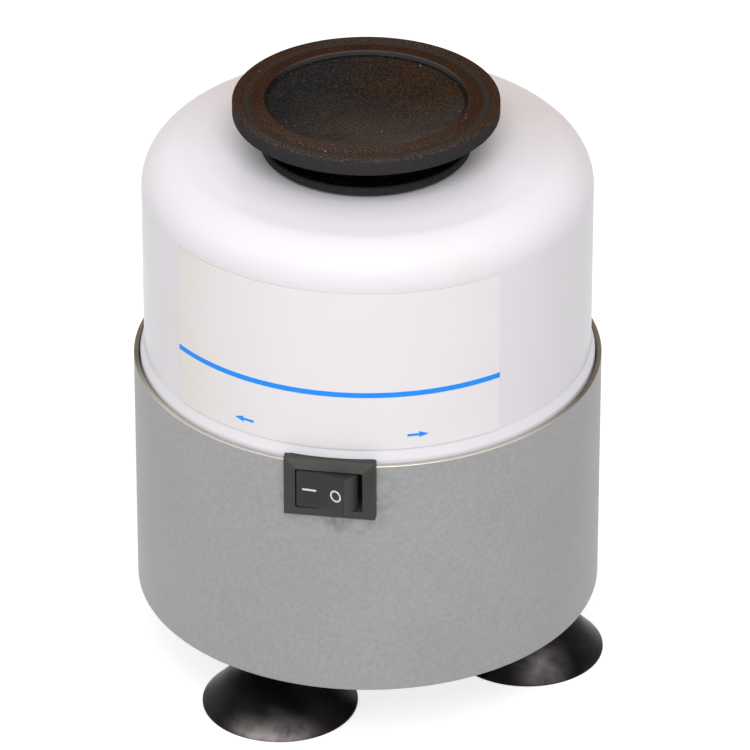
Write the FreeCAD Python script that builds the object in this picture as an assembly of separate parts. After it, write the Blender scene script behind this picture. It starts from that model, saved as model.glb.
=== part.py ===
import FreeCAD, Part
import math
import os

# Vortex mixer: a white cover and painted sleeve round a small motor whose shaft swings a rubber cup.
# Millimetres, +Z up, origin on the table under the body's axis, switch towards -Y.

# Sleeve, base plate and what clamps them
sleeve_r = 54.25
sleeve_wall = 1.2
sleeve_height = 60.0
sleeve_edge_r = 0.7
sleeve_lip_width = 7.9
base_plate_t = 2.0
base_plate_gap = 0.5
clamp_inset = 4.5
clamp_screw_r = 1.8
clamp_screw_grip = 10.0
clamp_head_h = 1.5
clamp_count = 4
first_clamp_angle = 45.0
spacer_r = 3.5
hole_gap = 0.1
thread_gap = 0.05
cut_past = 1.0

# Feet, counted from the front towards +X
foot_height = 20.0
foot_rim_r = 18.2
foot_rim_t = 0.6
foot_dome_height = 11.0
foot_dome_bulge = 0.53
foot_neck_r = 6.9
foot_hollow_depth = 5.0
foot_inset = 18.05
foot_shift = 1.65
foot_names = ("foot_front_left", "foot_right", "foot_rear_left")
first_foot_angle = -28.65
foot_stud_r = 2.5
foot_stud_grip = 6.0
foot_nut_h = 3.5
foot_nut_r = 4.6

# White cover
cover_wall = 2.5
cover_inset = 2.45
cover_height = 53.2
shoulder_r = 9.6
spigot_gap = 0.3
spigot_depth = 8.8
lip_height = 2.8
lip_slope = 2.0
boss_r = 4.0
boss_height = 14.0
head_hole_r = 15.0

# Label film
label_t = 0.15
label_glue = 0.05
label_left_angle = 46.15
label_right_angle = 44.0
label_margin = 0.3

# Rocker switch, a common 21 by 15 bezel
bezel_w = 21.0
bezel_h = 15.0
bezel_proud = 1.8
bezel_chamfer = 0.9
bezel_lip = 1.1
switch_below_rim = 5.6
switch_body_w = 19.0
switch_body_h = 12.9
switch_body_depth = 13.0
switch_notch_gap = 0.2
opening_w = 15.4
opening_h = 10.0
cavity_w = 16.6
cavity_depth = 7.6
rocker_swing = 31.4
rocker_half_w = 5.9
rocker_tip = 6.4
rocker_valley = 5.3
rocker_root = 1.6
rocker_end_lean = 16.0
rocker_side_gap = 0.3
rocker_pivot_depth = 4.5
rocker_hub_r = 2.2
pivot_pin_r = 1.0
pivot_pin_reach = 0.7
pivot_gap = 0.05
blade_w = 0.8
blade_h = 4.8
blade_reach = 6.0
blade_pitch = 5.0

# Cord inlet
inlet_r = 3.5
inlet_wall = 2.0
inlet_flange = 2.2
inlet_flange_t = 3.2
inlet_above_base = 17.0

# Motor mount
isolator_r = 6.0
isolator_h = 23.0
isolator_inset = 17.05
isolator_names = ("isolator_front", "isolator_rear", "isolator_left")
first_isolator_angle = 30.0
isolator_screw_r = 2.0
isolator_screw_grip = 6.0
motor_plate_t = 2.5
motor_plate_rim = 1.5
screw_head_h = 2.4
screw_head_rim = 1.5

# Motor
motor_side_room = 22.05
bell_h = 10.0
bell_wall = 5.0
bell_floor = 4.0
stator_h = 24.0
stator_depth = 15.0
air_gap = 0.4
winding_gap = 1.0
bush_wall = 3.0
bush_h = 8.0
bush_seat_wall = 3.0
bolt_r = 1.6
bolt_count = 4
shaft_r = 4.0
running_gap = 0.04
collar_r = 8.0
collar_h = 4.0
washer_t = 1.0
core_end_gap = 2.0

# Eccentric drive
throw = 2.0
hub_above_bell = 2.0
hub_r = 11.0
hub_shaft_grip = 6.0
hub_web = 1.0
hub_pin_grip = 5.0
set_screw_r = 1.5
pin_r = 5.0
pin_collar_h = 2.0
pin_end = 1.2
weight_r = 22.0
weight_h = 9.0
weight_screw_r = 1.6
weight_screw_x = 5.0
weight_screw_grip = 4.0

# Head bearings, two thin 10 by 19 by 5 ball bearings
bearing_r = 9.5
bearing_w = 5.0
race_t = 1.3
ball_r = 1.15
ball_gap = 0.05
ball_count = 11
circlip_t = 1.0
circlip_width = 1.4
pin_headroom = 4.5

# Rubber head
cup_r = 30.5
cup_flange_t = 3.9
cup_height = 12.3
cup_above_cover = 0.9
skirt_r = 24.0
skirt_t = 1.9
cup_neck_r = 19.5
cup_edge_r = 0.65
groove_r_out = 28.4
groove_r_in = 26.4
groove_depth = 0.8
dish_r = 23.0
dish_step = 1.0
dish_depth = 5.3
head_plate_r = 15.0
head_plate_t = 3.0
head_plate_lift = 0.6
cup_mouth_r = 13.5
head_sleeve_wall = 2.0
press_travel = 0.6

# Press-to-run mechanism
ball_seat_r = 2.5
ball_seat_depth = 1.75
plunger_r = 7.0
plunger_t = 3.0
plunger_tip_r = 2.0
plunger_tip_reach = 0.5
plunger_drop = 2.0
guide_wall = 2.5
guide_floor = 1.5
guide_flange = 6.0
guide_flange_t = 2.5
guide_screw_r = 1.25
guide_screw_count = 3
first_guide_screw_angle = 90.0
spring_wire_r = 0.4
spring_turns = 3.0
spring_side_gap = 0.5
micro_w = 19.8
micro_t = 6.4
micro_h = 10.2
micro_button_w = 2.8
micro_button_t = 1.6
micro_button_proud = 1.2
micro_button_root = 2.0
micro_button_gap = 0.1
micro_hole_pitch = 9.5
micro_hole_up = 3.0
micro_screw_r = 1.0
bracket_t = 1.2
bracket_foot = 9.0
bracket_height = 8.0

# Capacitor and terminal block
capacitor_r = 8.0
capacitor_h = 20.0
capacitor_wall_gap = 2.5
clamp_band_t = 1.0
clamp_band_h = 8.0
clamp_tab = 8.0
clamp_screw_small_r = 1.5
block_w = 22.0
block_d = 9.0
block_h = 13.0
block_rim_gap = 10.0
block_poles = 3
block_screw_r = 1.6

# Heights worked out from the stack
base_z = foot_height
base_top = base_z + base_plate_t
lip_z = base_z - sleeve_wall
rim_z = lip_z + sleeve_height
cover_top = rim_z + cover_height
spigot_z = rim_z - spigot_depth
lip_top = rim_z + lip_height
plate_z = base_top + isolator_h
motor_z = plate_z + motor_plate_t
stator_z = motor_z + bell_h
stator_top = stator_z + stator_h
motor_top = stator_top + bell_h
washer_z = motor_top - bush_h - washer_t
collar_z = washer_z - collar_h
hub_z = motor_top + hub_above_bell
shaft_top = hub_z + hub_shaft_grip
pin_z = shaft_top + hub_web
hub_top = pin_z + hub_pin_grip
cup_z = cover_top + cup_above_cover
cup_top = cup_z + cup_height
head_plate_z = cup_z + head_plate_lift
lower_bearing_z = hub_top + pin_collar_h
upper_bearing_z = head_plate_z - pin_headroom - bearing_w
tip_z = base_top + micro_h + micro_button_proud
guide_z = tip_z + plunger_tip_reach
plunger_top = plate_z - plunger_drop
plunger_z = plunger_top - plunger_t
thrust_ball_z = plunger_top + ball_seat_r - ball_seat_depth
shaft_z = thrust_ball_z + ball_seat_r
switch_z = rim_z - switch_below_rim

# Radii worked out from the walls
sleeve_in_r = sleeve_r - sleeve_wall
lip_in_r = sleeve_in_r - sleeve_lip_width
base_plate_r = sleeve_in_r - base_plate_gap
foot_circle_r = sleeve_r - foot_inset
clamp_circle_r = sleeve_in_r - clamp_inset
isolator_circle_r = sleeve_in_r - isolator_inset
spigot_r = sleeve_in_r - spigot_gap
cover_r = sleeve_r - cover_inset
cover_in_r = cover_r - cover_wall
motor_r = sleeve_in_r - motor_side_room
bell_in_r = motor_r - bell_wall
bolt_circle_r = motor_r - bell_wall / 2
stator_bore_r = motor_r - stator_depth
bush_r = shaft_r + bush_wall
rotor_r = stator_bore_r - air_gap
head_sleeve_r = bearing_r + head_sleeve_wall
inner_race_r = pin_r + race_t
outer_race_r = bearing_r - race_t
ball_circle_r = (inner_race_r + outer_race_r) / 2
head_axis = (0.0, -throw)

os.makedirs("parts", exist_ok=True)


def save(node, *solids):
    """Write one node, made of one solid or of a group of separate solids."""
    shape = solids[0] if len(solids) == 1 else Part.makeCompound(list(solids))
    shape.exportStep("parts/" + node + ".step")


def disc(r, z0, z1, at=(0.0, 0.0)):
    return Part.makeCylinder(r, z1 - z0, FreeCAD.Vector(at[0], at[1], z0))


def ring(r_out, r_in, z0, z1, at=(0.0, 0.0)):
    return disc(r_out, z0, z1, at).cut(disc(r_in, z0, z1, at))


def block(x0, x1, y0, y1, z0, z1):
    return Part.makeBox(x1 - x0, y1 - y0, z1 - z0, FreeCAD.Vector(x0, y0, z0))


def rod_y(r, y0, y1, x, z):
    """A round bar lying front to back."""
    return Part.makeCylinder(r, y1 - y0, FreeCAD.Vector(x, y0, z), FreeCAD.Vector(0, 1, 0))


def around(circle_r, angle):
    """A place on a circle about the body's axis, with the angle counted from the front towards +X."""
    turn = math.radians(angle)
    return (circle_r * math.sin(turn), -circle_r * math.cos(turn))


def spaced(circle_r, first_angle, count):
    """Places spread evenly round a circle."""
    return [around(circle_r, first_angle + 360.0 * k / count) for k in range(count)]


def cut_all(solid, tools):
    for tool in tools:
        solid = solid.cut(tool)
    return solid


def fuse_all(solids):
    whole = solids[0]
    for solid in solids[1:]:
        whole = whole.fuse(solid)
    return whole.removeSplitter()


def outline_edges(steps, lift):
    """Edges of a closed outline. A step is a point, or a pair of points for an arc through the first."""
    edges = []
    start = lift(steps[0])
    here = start
    for step in steps[1:]:
        if isinstance(step[0], tuple):
            there = lift(step[1])
            edges.append(Part.Arc(here, lift(step[0]), there).toShape())
        else:
            there = lift(step)
            edges.append(Part.LineSegment(here, there).toShape())
        here = there
    if not here.isEqual(start, 1e-6):
        edges.append(Part.LineSegment(here, start).toShape())
    return edges


def turned(steps, at=(0.0, 0.0)):
    """A solid turned about an upright axis from an outline of (radius, height)."""
    edges = outline_edges(steps, lambda p: FreeCAD.Vector(at[0] + p[0], at[1], p[1]))
    face = Part.Face(Part.Wire(edges))
    return face.revolve(FreeCAD.Vector(at[0], at[1], 0), FreeCAD.Vector(0, 0, 1), 360)


def raised(steps, z0, z1):
    """An upright prism from a plan outline of (x, y)."""
    edges = outline_edges(steps, lambda p: FreeCAD.Vector(p[0], p[1], z0))
    return Part.Face(Part.Wire(edges)).extrude(FreeCAD.Vector(0, 0, z1 - z0))


def corner(centre, r, angle):
    """The point of an arc at an angle in degrees from the outline's first axis."""
    turn = math.radians(angle)
    return (centre[0] + r * math.cos(turn), centre[1] + r * math.sin(turn))


def screw_up(r, seat_z, tip_z, at, head_h=screw_head_h):
    """A pan-head screw driven upwards, its head under the seat."""
    head = disc(r + screw_head_rim, seat_z - head_h, seat_z, at)
    return head.fuse(disc(r, seat_z, tip_z, at))


def screw_down(r, seat_z, tip_z, at):
    """A pan-head screw driven downwards, its head on the seat."""
    head = disc(r + screw_head_rim, seat_z, seat_z + screw_head_h, at)
    return head.fuse(disc(r, tip_z, seat_z, at))


# Sleeve: a drum of painted sheet steel, rolled in at the bottom and notched for the switch
bend = (sleeve_r - sleeve_edge_r, lip_z + sleeve_edge_r)
sleeve = turned([
    (lip_in_r, lip_z),
    (bend[0], lip_z),
    (corner(bend, sleeve_edge_r, -45.0), (sleeve_r, bend[1])),
    (sleeve_r, rim_z),
    (sleeve_in_r, rim_z),
    (sleeve_in_r, base_z),
    (lip_in_r, base_z),
])
notch_half = switch_body_w / 2 + switch_notch_gap
notch_z = switch_z - switch_body_h / 2 - switch_notch_gap
notch_top = switch_z + switch_body_h / 2 + switch_notch_gap
switch_notch = block(-notch_half, notch_half, -sleeve_r - cut_past, -cover_in_r + boss_r, notch_z, notch_top)
inlet_z = base_top + inlet_above_base
inlet_hole_r = inlet_r + inlet_wall
clamp_places = spaced(clamp_circle_r, first_clamp_angle, clamp_count)
clamp_hole_r = clamp_screw_r + hole_gap
sleeve = cut_all(sleeve, [
    switch_notch.fuse(block(-notch_half, notch_half, -sleeve_r - cut_past, -cover_in_r,
                            notch_z, rim_z + cut_past)),
    rod_y(inlet_hole_r, 0, sleeve_r + cut_past, 0, inlet_z),
] + [disc(clamp_hole_r, lip_z, base_z, at) for at in clamp_places])
save("sleeve", sleeve)

# Cord grommet: a rubber ring snapped into the hole at the back of the sleeve
grommet = rod_y(inlet_hole_r + inlet_flange, sleeve_in_r - inlet_flange_t, sleeve_r + inlet_flange_t, 0, inlet_z)
grommet = grommet.cut(rod_y(inlet_r, 0, 2 * sleeve_r, 0, inlet_z))
wall_band = ring(sleeve_r, sleeve_in_r, lip_z, rim_z).cut(rod_y(inlet_hole_r, 0, sleeve_r + cut_past, 0, inlet_z))
save("cord_grommet", grommet.cut(wall_band))

# Base plate: the steel disc that everything is bolted to
foot_places = [(x + foot_shift, y) for x, y in spaced(foot_circle_r, first_foot_angle, len(foot_names))]
isolator_places = spaced(isolator_circle_r, first_isolator_angle, len(isolator_names))
capacitor_at = around(sleeve_in_r - capacitor_wall_gap - capacitor_r, 0.0)
clamp_tab_at = (capacitor_at[0], capacitor_at[1] + capacitor_r + clamp_band_t + clamp_tab / 2)
block_y = sleeve_in_r - block_rim_gap - block_d
block_screw_at = [(side * block_w / 4, block_y + block_d / 2) for side in (-1, 1)]
bracket_y = micro_t / 2
bracket_screw_y = bracket_y + bracket_foot * 0.6
bracket_screw_at = [(side * micro_hole_pitch / 2, bracket_screw_y) for side in (-1, 1)]
base_holes = [disc(clamp_hole_r, base_z, base_top, at) for at in clamp_places]
base_holes += [disc(foot_stud_r + hole_gap, base_z, base_top, at) for at in foot_places]
base_holes += [disc(isolator_screw_r + hole_gap, base_z, base_top, at) for at in isolator_places]
base_holes += [disc(clamp_screw_small_r + thread_gap, base_z, base_top, clamp_tab_at)]
base_holes += [disc(micro_screw_r + thread_gap, base_z, base_top, at) for at in bracket_screw_at]
base_holes += [disc(block_screw_r + hole_gap, base_z, base_top, at) for at in block_screw_at]
save("base_plate", cut_all(disc(base_plate_r, base_z, base_top), base_holes))

# Spacers and long screws that clamp cover, base plate and sleeve together
save("cover_spacers", *[ring(spacer_r, clamp_hole_r, base_top, spigot_z, at) for at in clamp_places])
clamp_tip_z = spigot_z + clamp_screw_grip
save("cover_screws", *[screw_up(clamp_screw_r, lip_z, clamp_tip_z, at, clamp_head_h) for at in clamp_places])

# White cover: flat top, round shoulder, straight wall, flared lip and a spigot inside the sleeve
shoulder = (cover_r - shoulder_r, cover_top - shoulder_r)
inner_shoulder_r = shoulder_r - cover_wall
cover = turned([
    (cover_in_r, spigot_z),
    (spigot_r, spigot_z),
    (spigot_r, lip_top - lip_slope),
    (cover_r, lip_top),
    (cover_r, shoulder[1]),
    (corner(shoulder, shoulder_r, 45.0), (shoulder[0], cover_top)),
    (head_hole_r, cover_top),
    (head_hole_r, cover_top - cover_wall),
    (shoulder[0], cover_top - cover_wall),
    (corner(shoulder, inner_shoulder_r, 45.0), (cover_in_r, shoulder[1])),
])
cover_inside = disc(cover_in_r + cover_wall / 2, spigot_z, spigot_z + boss_height)
bosses = [disc(boss_r, spigot_z, spigot_z + boss_height, at).common(cover_inside) for at in clamp_places]
cover = fuse_all([cover] + bosses)
boss_holes = [disc(clamp_screw_r + thread_gap, spigot_z, clamp_tip_z + cut_past, at) for at in clamp_places]
cover = cut_all(cover, [switch_notch] + boss_holes)
save("top_cover", cover)

# Label: a thin printed film stuck round the front of the cover
label_z = lip_top + label_margin
label_top = shoulder[1] - label_margin
label_in_r = cover_r + label_glue
label_r = label_in_r + label_t
label = raised([
    around(label_in_r, -label_left_angle),
    (around(label_in_r, 0.0), around(label_in_r, label_right_angle)),
    around(label_r, label_right_angle),
    (around(label_r, 0.0), around(label_r, -label_left_angle)),
], label_z, label_top)
save("front_label", label)

# Rocker switch housing: a bevelled bezel with a curved back that sits on the sleeve
bezel_y = -sleeve_r - bezel_proud
switch_back_y = -sleeve_r + switch_body_depth
pivot_y = bezel_y + rocker_pivot_depth
bezel = block(-bezel_w / 2, bezel_w / 2, bezel_y, -cover_r, switch_z - bezel_h / 2, switch_z + bezel_h / 2)
front_face = min(bezel.Faces, key=lambda face: face.CenterOfMass.y)
bezel = bezel.makeChamfer(bezel_chamfer, front_face.Edges)
bezel = bezel.cut(disc(sleeve_r, lip_z, cover_top))
switch_body = block(-switch_body_w / 2, switch_body_w / 2, -sleeve_r, switch_back_y,
                    switch_z - switch_body_h / 2, switch_z + switch_body_h / 2)
opening_z = switch_z - opening_h / 2
opening_top = switch_z + opening_h / 2
cavity_y = bezel_y + bezel_lip
opening = block(-opening_w / 2, opening_w / 2, bezel_y, cavity_y, opening_z, opening_top)
cavity = block(-cavity_w / 2, cavity_w / 2, cavity_y, bezel_y + cavity_depth, opening_z, opening_top)
pin_half = opening_h / 2 + pivot_pin_reach
pivot_hole_half = pin_half + pivot_gap
pivot_hole = disc(pivot_pin_r + pivot_gap, switch_z - pivot_hole_half, switch_z + pivot_hole_half, (0, pivot_y))
switch_housing = cut_all(fuse_all([bezel, switch_body]), [opening, cavity, pivot_hole])
save("switch_housing", switch_housing)

# Rocker: two faces that meet in a shallow valley, on a pivot that stands upright
half_swing = rocker_swing / 2
tip = (rocker_half_w, -rocker_tip)
root_x = rocker_half_w + (rocker_tip - rocker_root) * math.tan(math.radians(rocker_end_lean))
rocker = raised([
    (0.0, -rocker_valley),
    tip,
    (root_x, -rocker_root),
    (rocker_hub_r, rocker_hub_r),
    (-rocker_hub_r, rocker_hub_r),
    (-root_x, -rocker_root),
    (-tip[0], tip[1]),
], switch_z - opening_h / 2 + rocker_side_gap, switch_z + opening_h / 2 - rocker_side_gap)
rocker = rocker.fuse(disc(pivot_pin_r, switch_z - pin_half, switch_z + pin_half))
rocker.rotate(FreeCAD.Vector(0, 0, 0), FreeCAD.Vector(0, 0, 1), -half_swing)
rocker.translate(FreeCAD.Vector(0, pivot_y, 0))
save("switch_rocker", rocker)

# Brass push-on blades at the back of the switch
blades = []
for step in (-1, 0, 1):
    x = step * blade_pitch
    blades.append(block(x - blade_w / 2, x + blade_w / 2, switch_back_y, switch_back_y + blade_reach,
                        switch_z - blade_h / 2, switch_z + blade_h / 2))
save("switch_terminals", *blades)

# Feet: rubber suction cups with a hollow underside, each on a stud with a nut above the base plate
dome_drop = foot_dome_height - foot_rim_t
dome_run = foot_rim_r - foot_neck_r
dome_middle = (foot_neck_r + dome_run * foot_dome_bulge, foot_rim_t + dome_drop * foot_dome_bulge)
hollow_r = foot_rim_r - foot_rim_t
hollow_middle = (hollow_r * 0.55, foot_hollow_depth * 0.72)
stud_z = foot_height - foot_stud_grip
nut_top = base_top + foot_nut_h
nuts = []
for node, at in zip(foot_names, foot_places):
    foot = turned([
        (hollow_r, 0.0),
        (foot_rim_r, 0.0),
        (foot_rim_r, foot_rim_t),
        (dome_middle, (foot_neck_r, foot_dome_height)),
        (foot_neck_r, foot_height),
        (foot_stud_r, foot_height),
        (foot_stud_r, stud_z),
        (0.0, stud_z),
        (0.0, foot_hollow_depth),
        (hollow_middle, (hollow_r, 0.0)),
    ], at)
    save(node, foot)
    corners = [FreeCAD.Vector(*corner(at, foot_nut_r, 60.0 * k), base_top) for k in range(7)]
    nut = Part.Face(Part.makePolygon(corners)).extrude(FreeCAD.Vector(0, 0, foot_nut_h))
    nuts.append(nut.cut(disc(foot_stud_r + thread_gap, base_top, nut_top, at)))
save("foot_nuts", *nuts)
save("foot_studs", *[disc(foot_stud_r, stud_z, nut_top + cut_past, at) for at in foot_places])

# Motor mount: rubber isolators between the base plate and the lobed motor plate
isolator_screws = []
for node, at in zip(isolator_names, isolator_places):
    isolator = disc(isolator_r, base_top, plate_z, at)
    low_tip = base_top + isolator_screw_grip
    high_tip = plate_z - isolator_screw_grip
    isolator = isolator.cut(disc(isolator_screw_r + thread_gap, base_top, low_tip, at))
    isolator = isolator.cut(disc(isolator_screw_r + thread_gap, high_tip, plate_z, at))
    save(node, isolator)
    isolator_screws.append(screw_up(isolator_screw_r, base_z, low_tip, at))
    isolator_screws.append(screw_down(isolator_screw_r, motor_z, high_tip, at))
save("isolator_screws", *isolator_screws)

bolt_places = spaced(bolt_circle_r, 0.0, bolt_count)
guide_out_r = plunger_r + guide_wall
guide_screw_circle_r = guide_out_r + guide_flange / 2
guide_screw_places = spaced(guide_screw_circle_r, first_guide_screw_angle, guide_screw_count)
lobes = [disc(isolator_r + motor_plate_rim, plate_z, motor_z, at) for at in isolator_places]
motor_plate = fuse_all([disc(motor_r + motor_plate_rim, plate_z, motor_z)] + lobes)
plate_holes = [disc(plunger_r, plate_z, motor_z)]
plate_holes += [disc(isolator_screw_r + hole_gap, plate_z, motor_z, at) for at in isolator_places]
plate_holes += [disc(bolt_r + thread_gap, plate_z, motor_z, at) for at in bolt_places]
plate_holes += [disc(guide_screw_r + thread_gap, plate_z, motor_z, at) for at in guide_screw_places]
save("motor_plate", cut_all(motor_plate, plate_holes))

# Motor: two end bells clamp the stator, and four long bolts run down into the motor plate
bolt_holes = [disc(bolt_r + hole_gap, motor_z, motor_top, at) for at in bolt_places]
seat_r = bush_r + bush_seat_wall


def end_bell(outer_z, toward):
    """A cast bell that opens towards the stator, with a seat for the shaft's bush."""
    def z(depth):
        return outer_z + toward * depth
    bell = turned([
        (bush_r, z(0)),
        (motor_r, z(0)),
        (motor_r, z(bell_h)),
        (bell_in_r, z(bell_h)),
        (bell_in_r, z(bell_floor)),
        (seat_r, z(bell_floor)),
        (seat_r, z(bush_h)),
        (bush_r, z(bush_h)),
    ])
    return cut_all(bell, bolt_holes)


save("lower_end_bell", end_bell(motor_z, 1))
save("upper_end_bell", end_bell(motor_top, -1))
save("stator_core", cut_all(ring(motor_r, stator_bore_r, stator_z, stator_top), bolt_holes))
winding_h = bell_h - bell_floor - winding_gap
winding_r = bell_in_r - winding_gap
winding_in_r = stator_bore_r + winding_gap
save("stator_windings",
     ring(winding_r, winding_in_r, stator_z - winding_h, stator_z),
     ring(winding_r, winding_in_r, stator_top, stator_top + winding_h))
save("motor_bolts", *[screw_down(bolt_r, motor_top, plate_z, at) for at in bolt_places])
bush_bore_r = shaft_r + running_gap
save("lower_bush", ring(bush_r, bush_bore_r, motor_z, motor_z + bush_h))
save("upper_bush", ring(bush_r, bush_bore_r, motor_top - bush_h, motor_top))
save("thrust_washer", ring(collar_r, bush_bore_r, washer_z, washer_z + washer_t))

# Rotor: the shaft stands on a ball, and its collar stops it under the upper bush
save("motor_shaft", disc(shaft_r, shaft_z, shaft_top))
save("rotor_core", ring(rotor_r, shaft_r, stator_z + core_end_gap, collar_z))
save("shaft_collar", ring(collar_r, shaft_r, collar_z, washer_z))

# Eccentric hub with its pin, and the counterweight on the other side
set_screw_z = hub_z + hub_shaft_grip / 2
weight_screw_z = hub_z + weight_h / 2
weight_head_r = weight_screw_r + screw_head_rim
weight_seat_y = hub_r + weight_screw_grip
weight_tip_y = math.sqrt(hub_r ** 2 - weight_screw_x ** 2) - weight_screw_grip
hub = disc(hub_r, hub_z, hub_top)
hub_cuts = [disc(shaft_r, hub_z, shaft_top), disc(pin_r, pin_z, hub_top, head_axis)]
hub_cuts += [rod_y(set_screw_r, -hub_r, 0, 0, set_screw_z)]
weight = ring(weight_r, hub_r, hub_z, hub_z + weight_h).common(
    block(-weight_r, weight_r, throw, weight_r, hub_z, hub_z + weight_h))
weight_screws = []
for side in (-1, 1):
    x = side * weight_screw_x
    shank = rod_y(weight_screw_r, weight_tip_y, weight_seat_y, x, weight_screw_z)
    head = rod_y(weight_head_r, weight_seat_y, weight_seat_y + screw_head_h, x, weight_screw_z)
    weight_screws.append(shank.fuse(head))
    shank_hole = rod_y(weight_screw_r + thread_gap, weight_tip_y, weight_seat_y, x, weight_screw_z)
    hub_cuts.append(shank_hole)
    head_hole = rod_y(weight_head_r + hole_gap, weight_seat_y, weight_r, x, weight_screw_z)
    weight = cut_all(weight, [shank_hole, head_hole])
save("eccentric_hub", cut_all(hub, hub_cuts))
save("hub_set_screw", rod_y(set_screw_r - thread_gap, -hub_r, -shaft_r, 0, set_screw_z))
save("counterweight", weight)
save("counterweight_screws", *weight_screws)
circlip_z = upper_bearing_z + bearing_w
pin_top = circlip_z + circlip_t + pin_end
pin = disc(pin_r, pin_z, pin_top, head_axis)
pin = pin.fuse(ring(inner_race_r, pin_r, hub_top, lower_bearing_z, head_axis)).removeSplitter()
circlip_groove_r = pin_r - circlip_t / 2
pin = pin.cut(ring(pin_r, circlip_groove_r, circlip_z, circlip_z + circlip_t, head_axis))
save("eccentric_pin", pin)
circlip = ring(pin_r + circlip_width, circlip_groove_r, circlip_z, circlip_z + circlip_t, head_axis)
circlip_slot = block(-circlip_width, circlip_width, -throw - 2 * pin_r, -throw, circlip_z, circlip_z + circlip_t)
save("pin_circlip", circlip.cut(circlip_slot))

# Head bearings: inner races on the pin, outer races in the head, balls in round grooves between
lower_bearing_top = lower_bearing_z + bearing_w
save("bearing_spacer", ring(inner_race_r, pin_r, lower_bearing_top, upper_bearing_z, head_axis))
for name, z in (("lower", lower_bearing_z), ("upper", upper_bearing_z)):
    middle = FreeCAD.Vector(head_axis[0], head_axis[1], z + bearing_w / 2)
    groove = Part.makeTorus(ball_circle_r, ball_r + ball_gap, middle)
    save(name + "_bearing_inner", ring(inner_race_r, pin_r, z, z + bearing_w, head_axis).cut(groove))
    save(name + "_bearing_outer", ring(bearing_r, outer_race_r, z, z + bearing_w, head_axis).cut(groove))
    balls = []
    for k in range(ball_count):
        x, y = corner(head_axis, ball_circle_r, 360.0 * k / ball_count)
        balls.append(Part.makeSphere(ball_r, FreeCAD.Vector(x, y, middle.z)))
    save(name + "_bearing_balls", *balls)

# Head hub: the turned core that carries the rubber cup on the bearings
head_sleeve_z = lower_bearing_z - pin_collar_h / 2
head_hub = turned([
    (bearing_r, head_sleeve_z),
    (head_sleeve_r, head_sleeve_z),
    (head_sleeve_r, head_plate_z),
    (head_plate_r, head_plate_z),
    (head_plate_r, head_plate_z + head_plate_t),
    (0.0, head_plate_z + head_plate_t),
    (0.0, head_plate_z),
    (bearing_r, head_plate_z),
], head_axis)
save("head_hub", head_hub)

# Rubber cup: grooved flange, stepped dish, neck and thin skirt, moulded over the head hub
flange_z = cup_top - cup_flange_t
step_z = cup_top - dish_step
dish_z = cup_top - dish_depth
dish_sag = step_z - dish_z
dish_sphere_r = (dish_r ** 2 + dish_sag ** 2) / (2 * dish_sag)
dish_middle_r = dish_r / 2
dish_middle = (dish_middle_r, dish_z + dish_sphere_r - math.sqrt(dish_sphere_r ** 2 - dish_middle_r ** 2))
top_edge = (cup_r - cup_edge_r, cup_top - cup_edge_r)
skirt_top = cup_z + skirt_t
plate_top = head_plate_z + head_plate_t
cup = turned([
    (cup_mouth_r, cup_z),
    (skirt_r, cup_z),
    (skirt_r, skirt_top),
    (cup_neck_r, skirt_top),
    (cup_neck_r, flange_z),
    (cup_r, flange_z),
    (cup_r, top_edge[1]),
    (corner(top_edge, cup_edge_r, 45.0), (top_edge[0], cup_top)),
    (groove_r_out, cup_top),
    (groove_r_out, cup_top - groove_depth),
    (groove_r_in, cup_top - groove_depth),
    (groove_r_in, cup_top),
    (dish_r, cup_top),
    (dish_r, step_z),
    (dish_middle, (0.0, dish_z)),
    (0.0, plate_top),
    (head_plate_r, plate_top),
    (head_plate_r, head_plate_z),
    (cup_mouth_r, head_plate_z),
], head_axis)
save("rubber_cup", cup)

# Press-to-run: the shaft's ball stands on a sprung plunger whose tip works the microswitch
thrust_ball_at = FreeCAD.Vector(0, 0, thrust_ball_z)
save("thrust_ball", Part.makeSphere(ball_seat_r, thrust_ball_at))
plunger_body_r = plunger_r - running_gap
plunger = disc(plunger_body_r, plunger_z, plunger_top).fuse(disc(plunger_tip_r, tip_z, plunger_z))
save("touch_plunger", plunger.cut(Part.makeSphere(ball_seat_r, thrust_ball_at)))
guide_floor_top = guide_z + guide_floor
tip_hole_r = plunger_tip_r + spring_side_gap
guide = turned([
    (tip_hole_r, guide_z),
    (guide_out_r, guide_z),
    (guide_out_r, plate_z - guide_flange_t),
    (guide_out_r + guide_flange, plate_z - guide_flange_t),
    (guide_out_r + guide_flange, plate_z),
    (plunger_r, plate_z),
    (plunger_r, guide_floor_top),
    (tip_hole_r, guide_floor_top),
])
guide_seat_z = plate_z - guide_flange_t
guide_holes = [disc(guide_screw_r + hole_gap, guide_seat_z, plate_z, at) for at in guide_screw_places]
save("plunger_guide", cut_all(guide, guide_holes))
save("guide_screws", *[screw_up(guide_screw_r, guide_seat_z, motor_z, at) for at in guide_screw_places])
spring_length = plunger_z - guide_floor_top
spring_coil_r = plunger_r - spring_side_gap - spring_wire_r
spring_rise = spring_length - 2 * spring_wire_r
spring_step = math.pi
spring_steps = int(round(2 * spring_turns))
spring_lead = spring_rise / spring_turns / (2 * math.pi)


def spring_point(turn):
    """A point on the middle of the spring's wire, and the way that the wire runs there."""
    foot = guide_floor_top + spring_wire_r
    x = spring_coil_r * math.cos(turn)
    y = spring_coil_r * math.sin(turn)
    return FreeCAD.Vector(x, y, foot + spring_lead * turn), FreeCAD.Vector(-y, x, spring_lead).normalize()


def arc_by_tangents(start, knee, end):
    """The circular arc from start to end that touches the two equal legs to the knee."""
    middle = (start + end) * 0.5
    lean = (middle - start).Length / (knee - start).Length
    return Part.Arc(start, middle + (knee - middle) * (lean / (1 + lean)), end).toShape()


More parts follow.
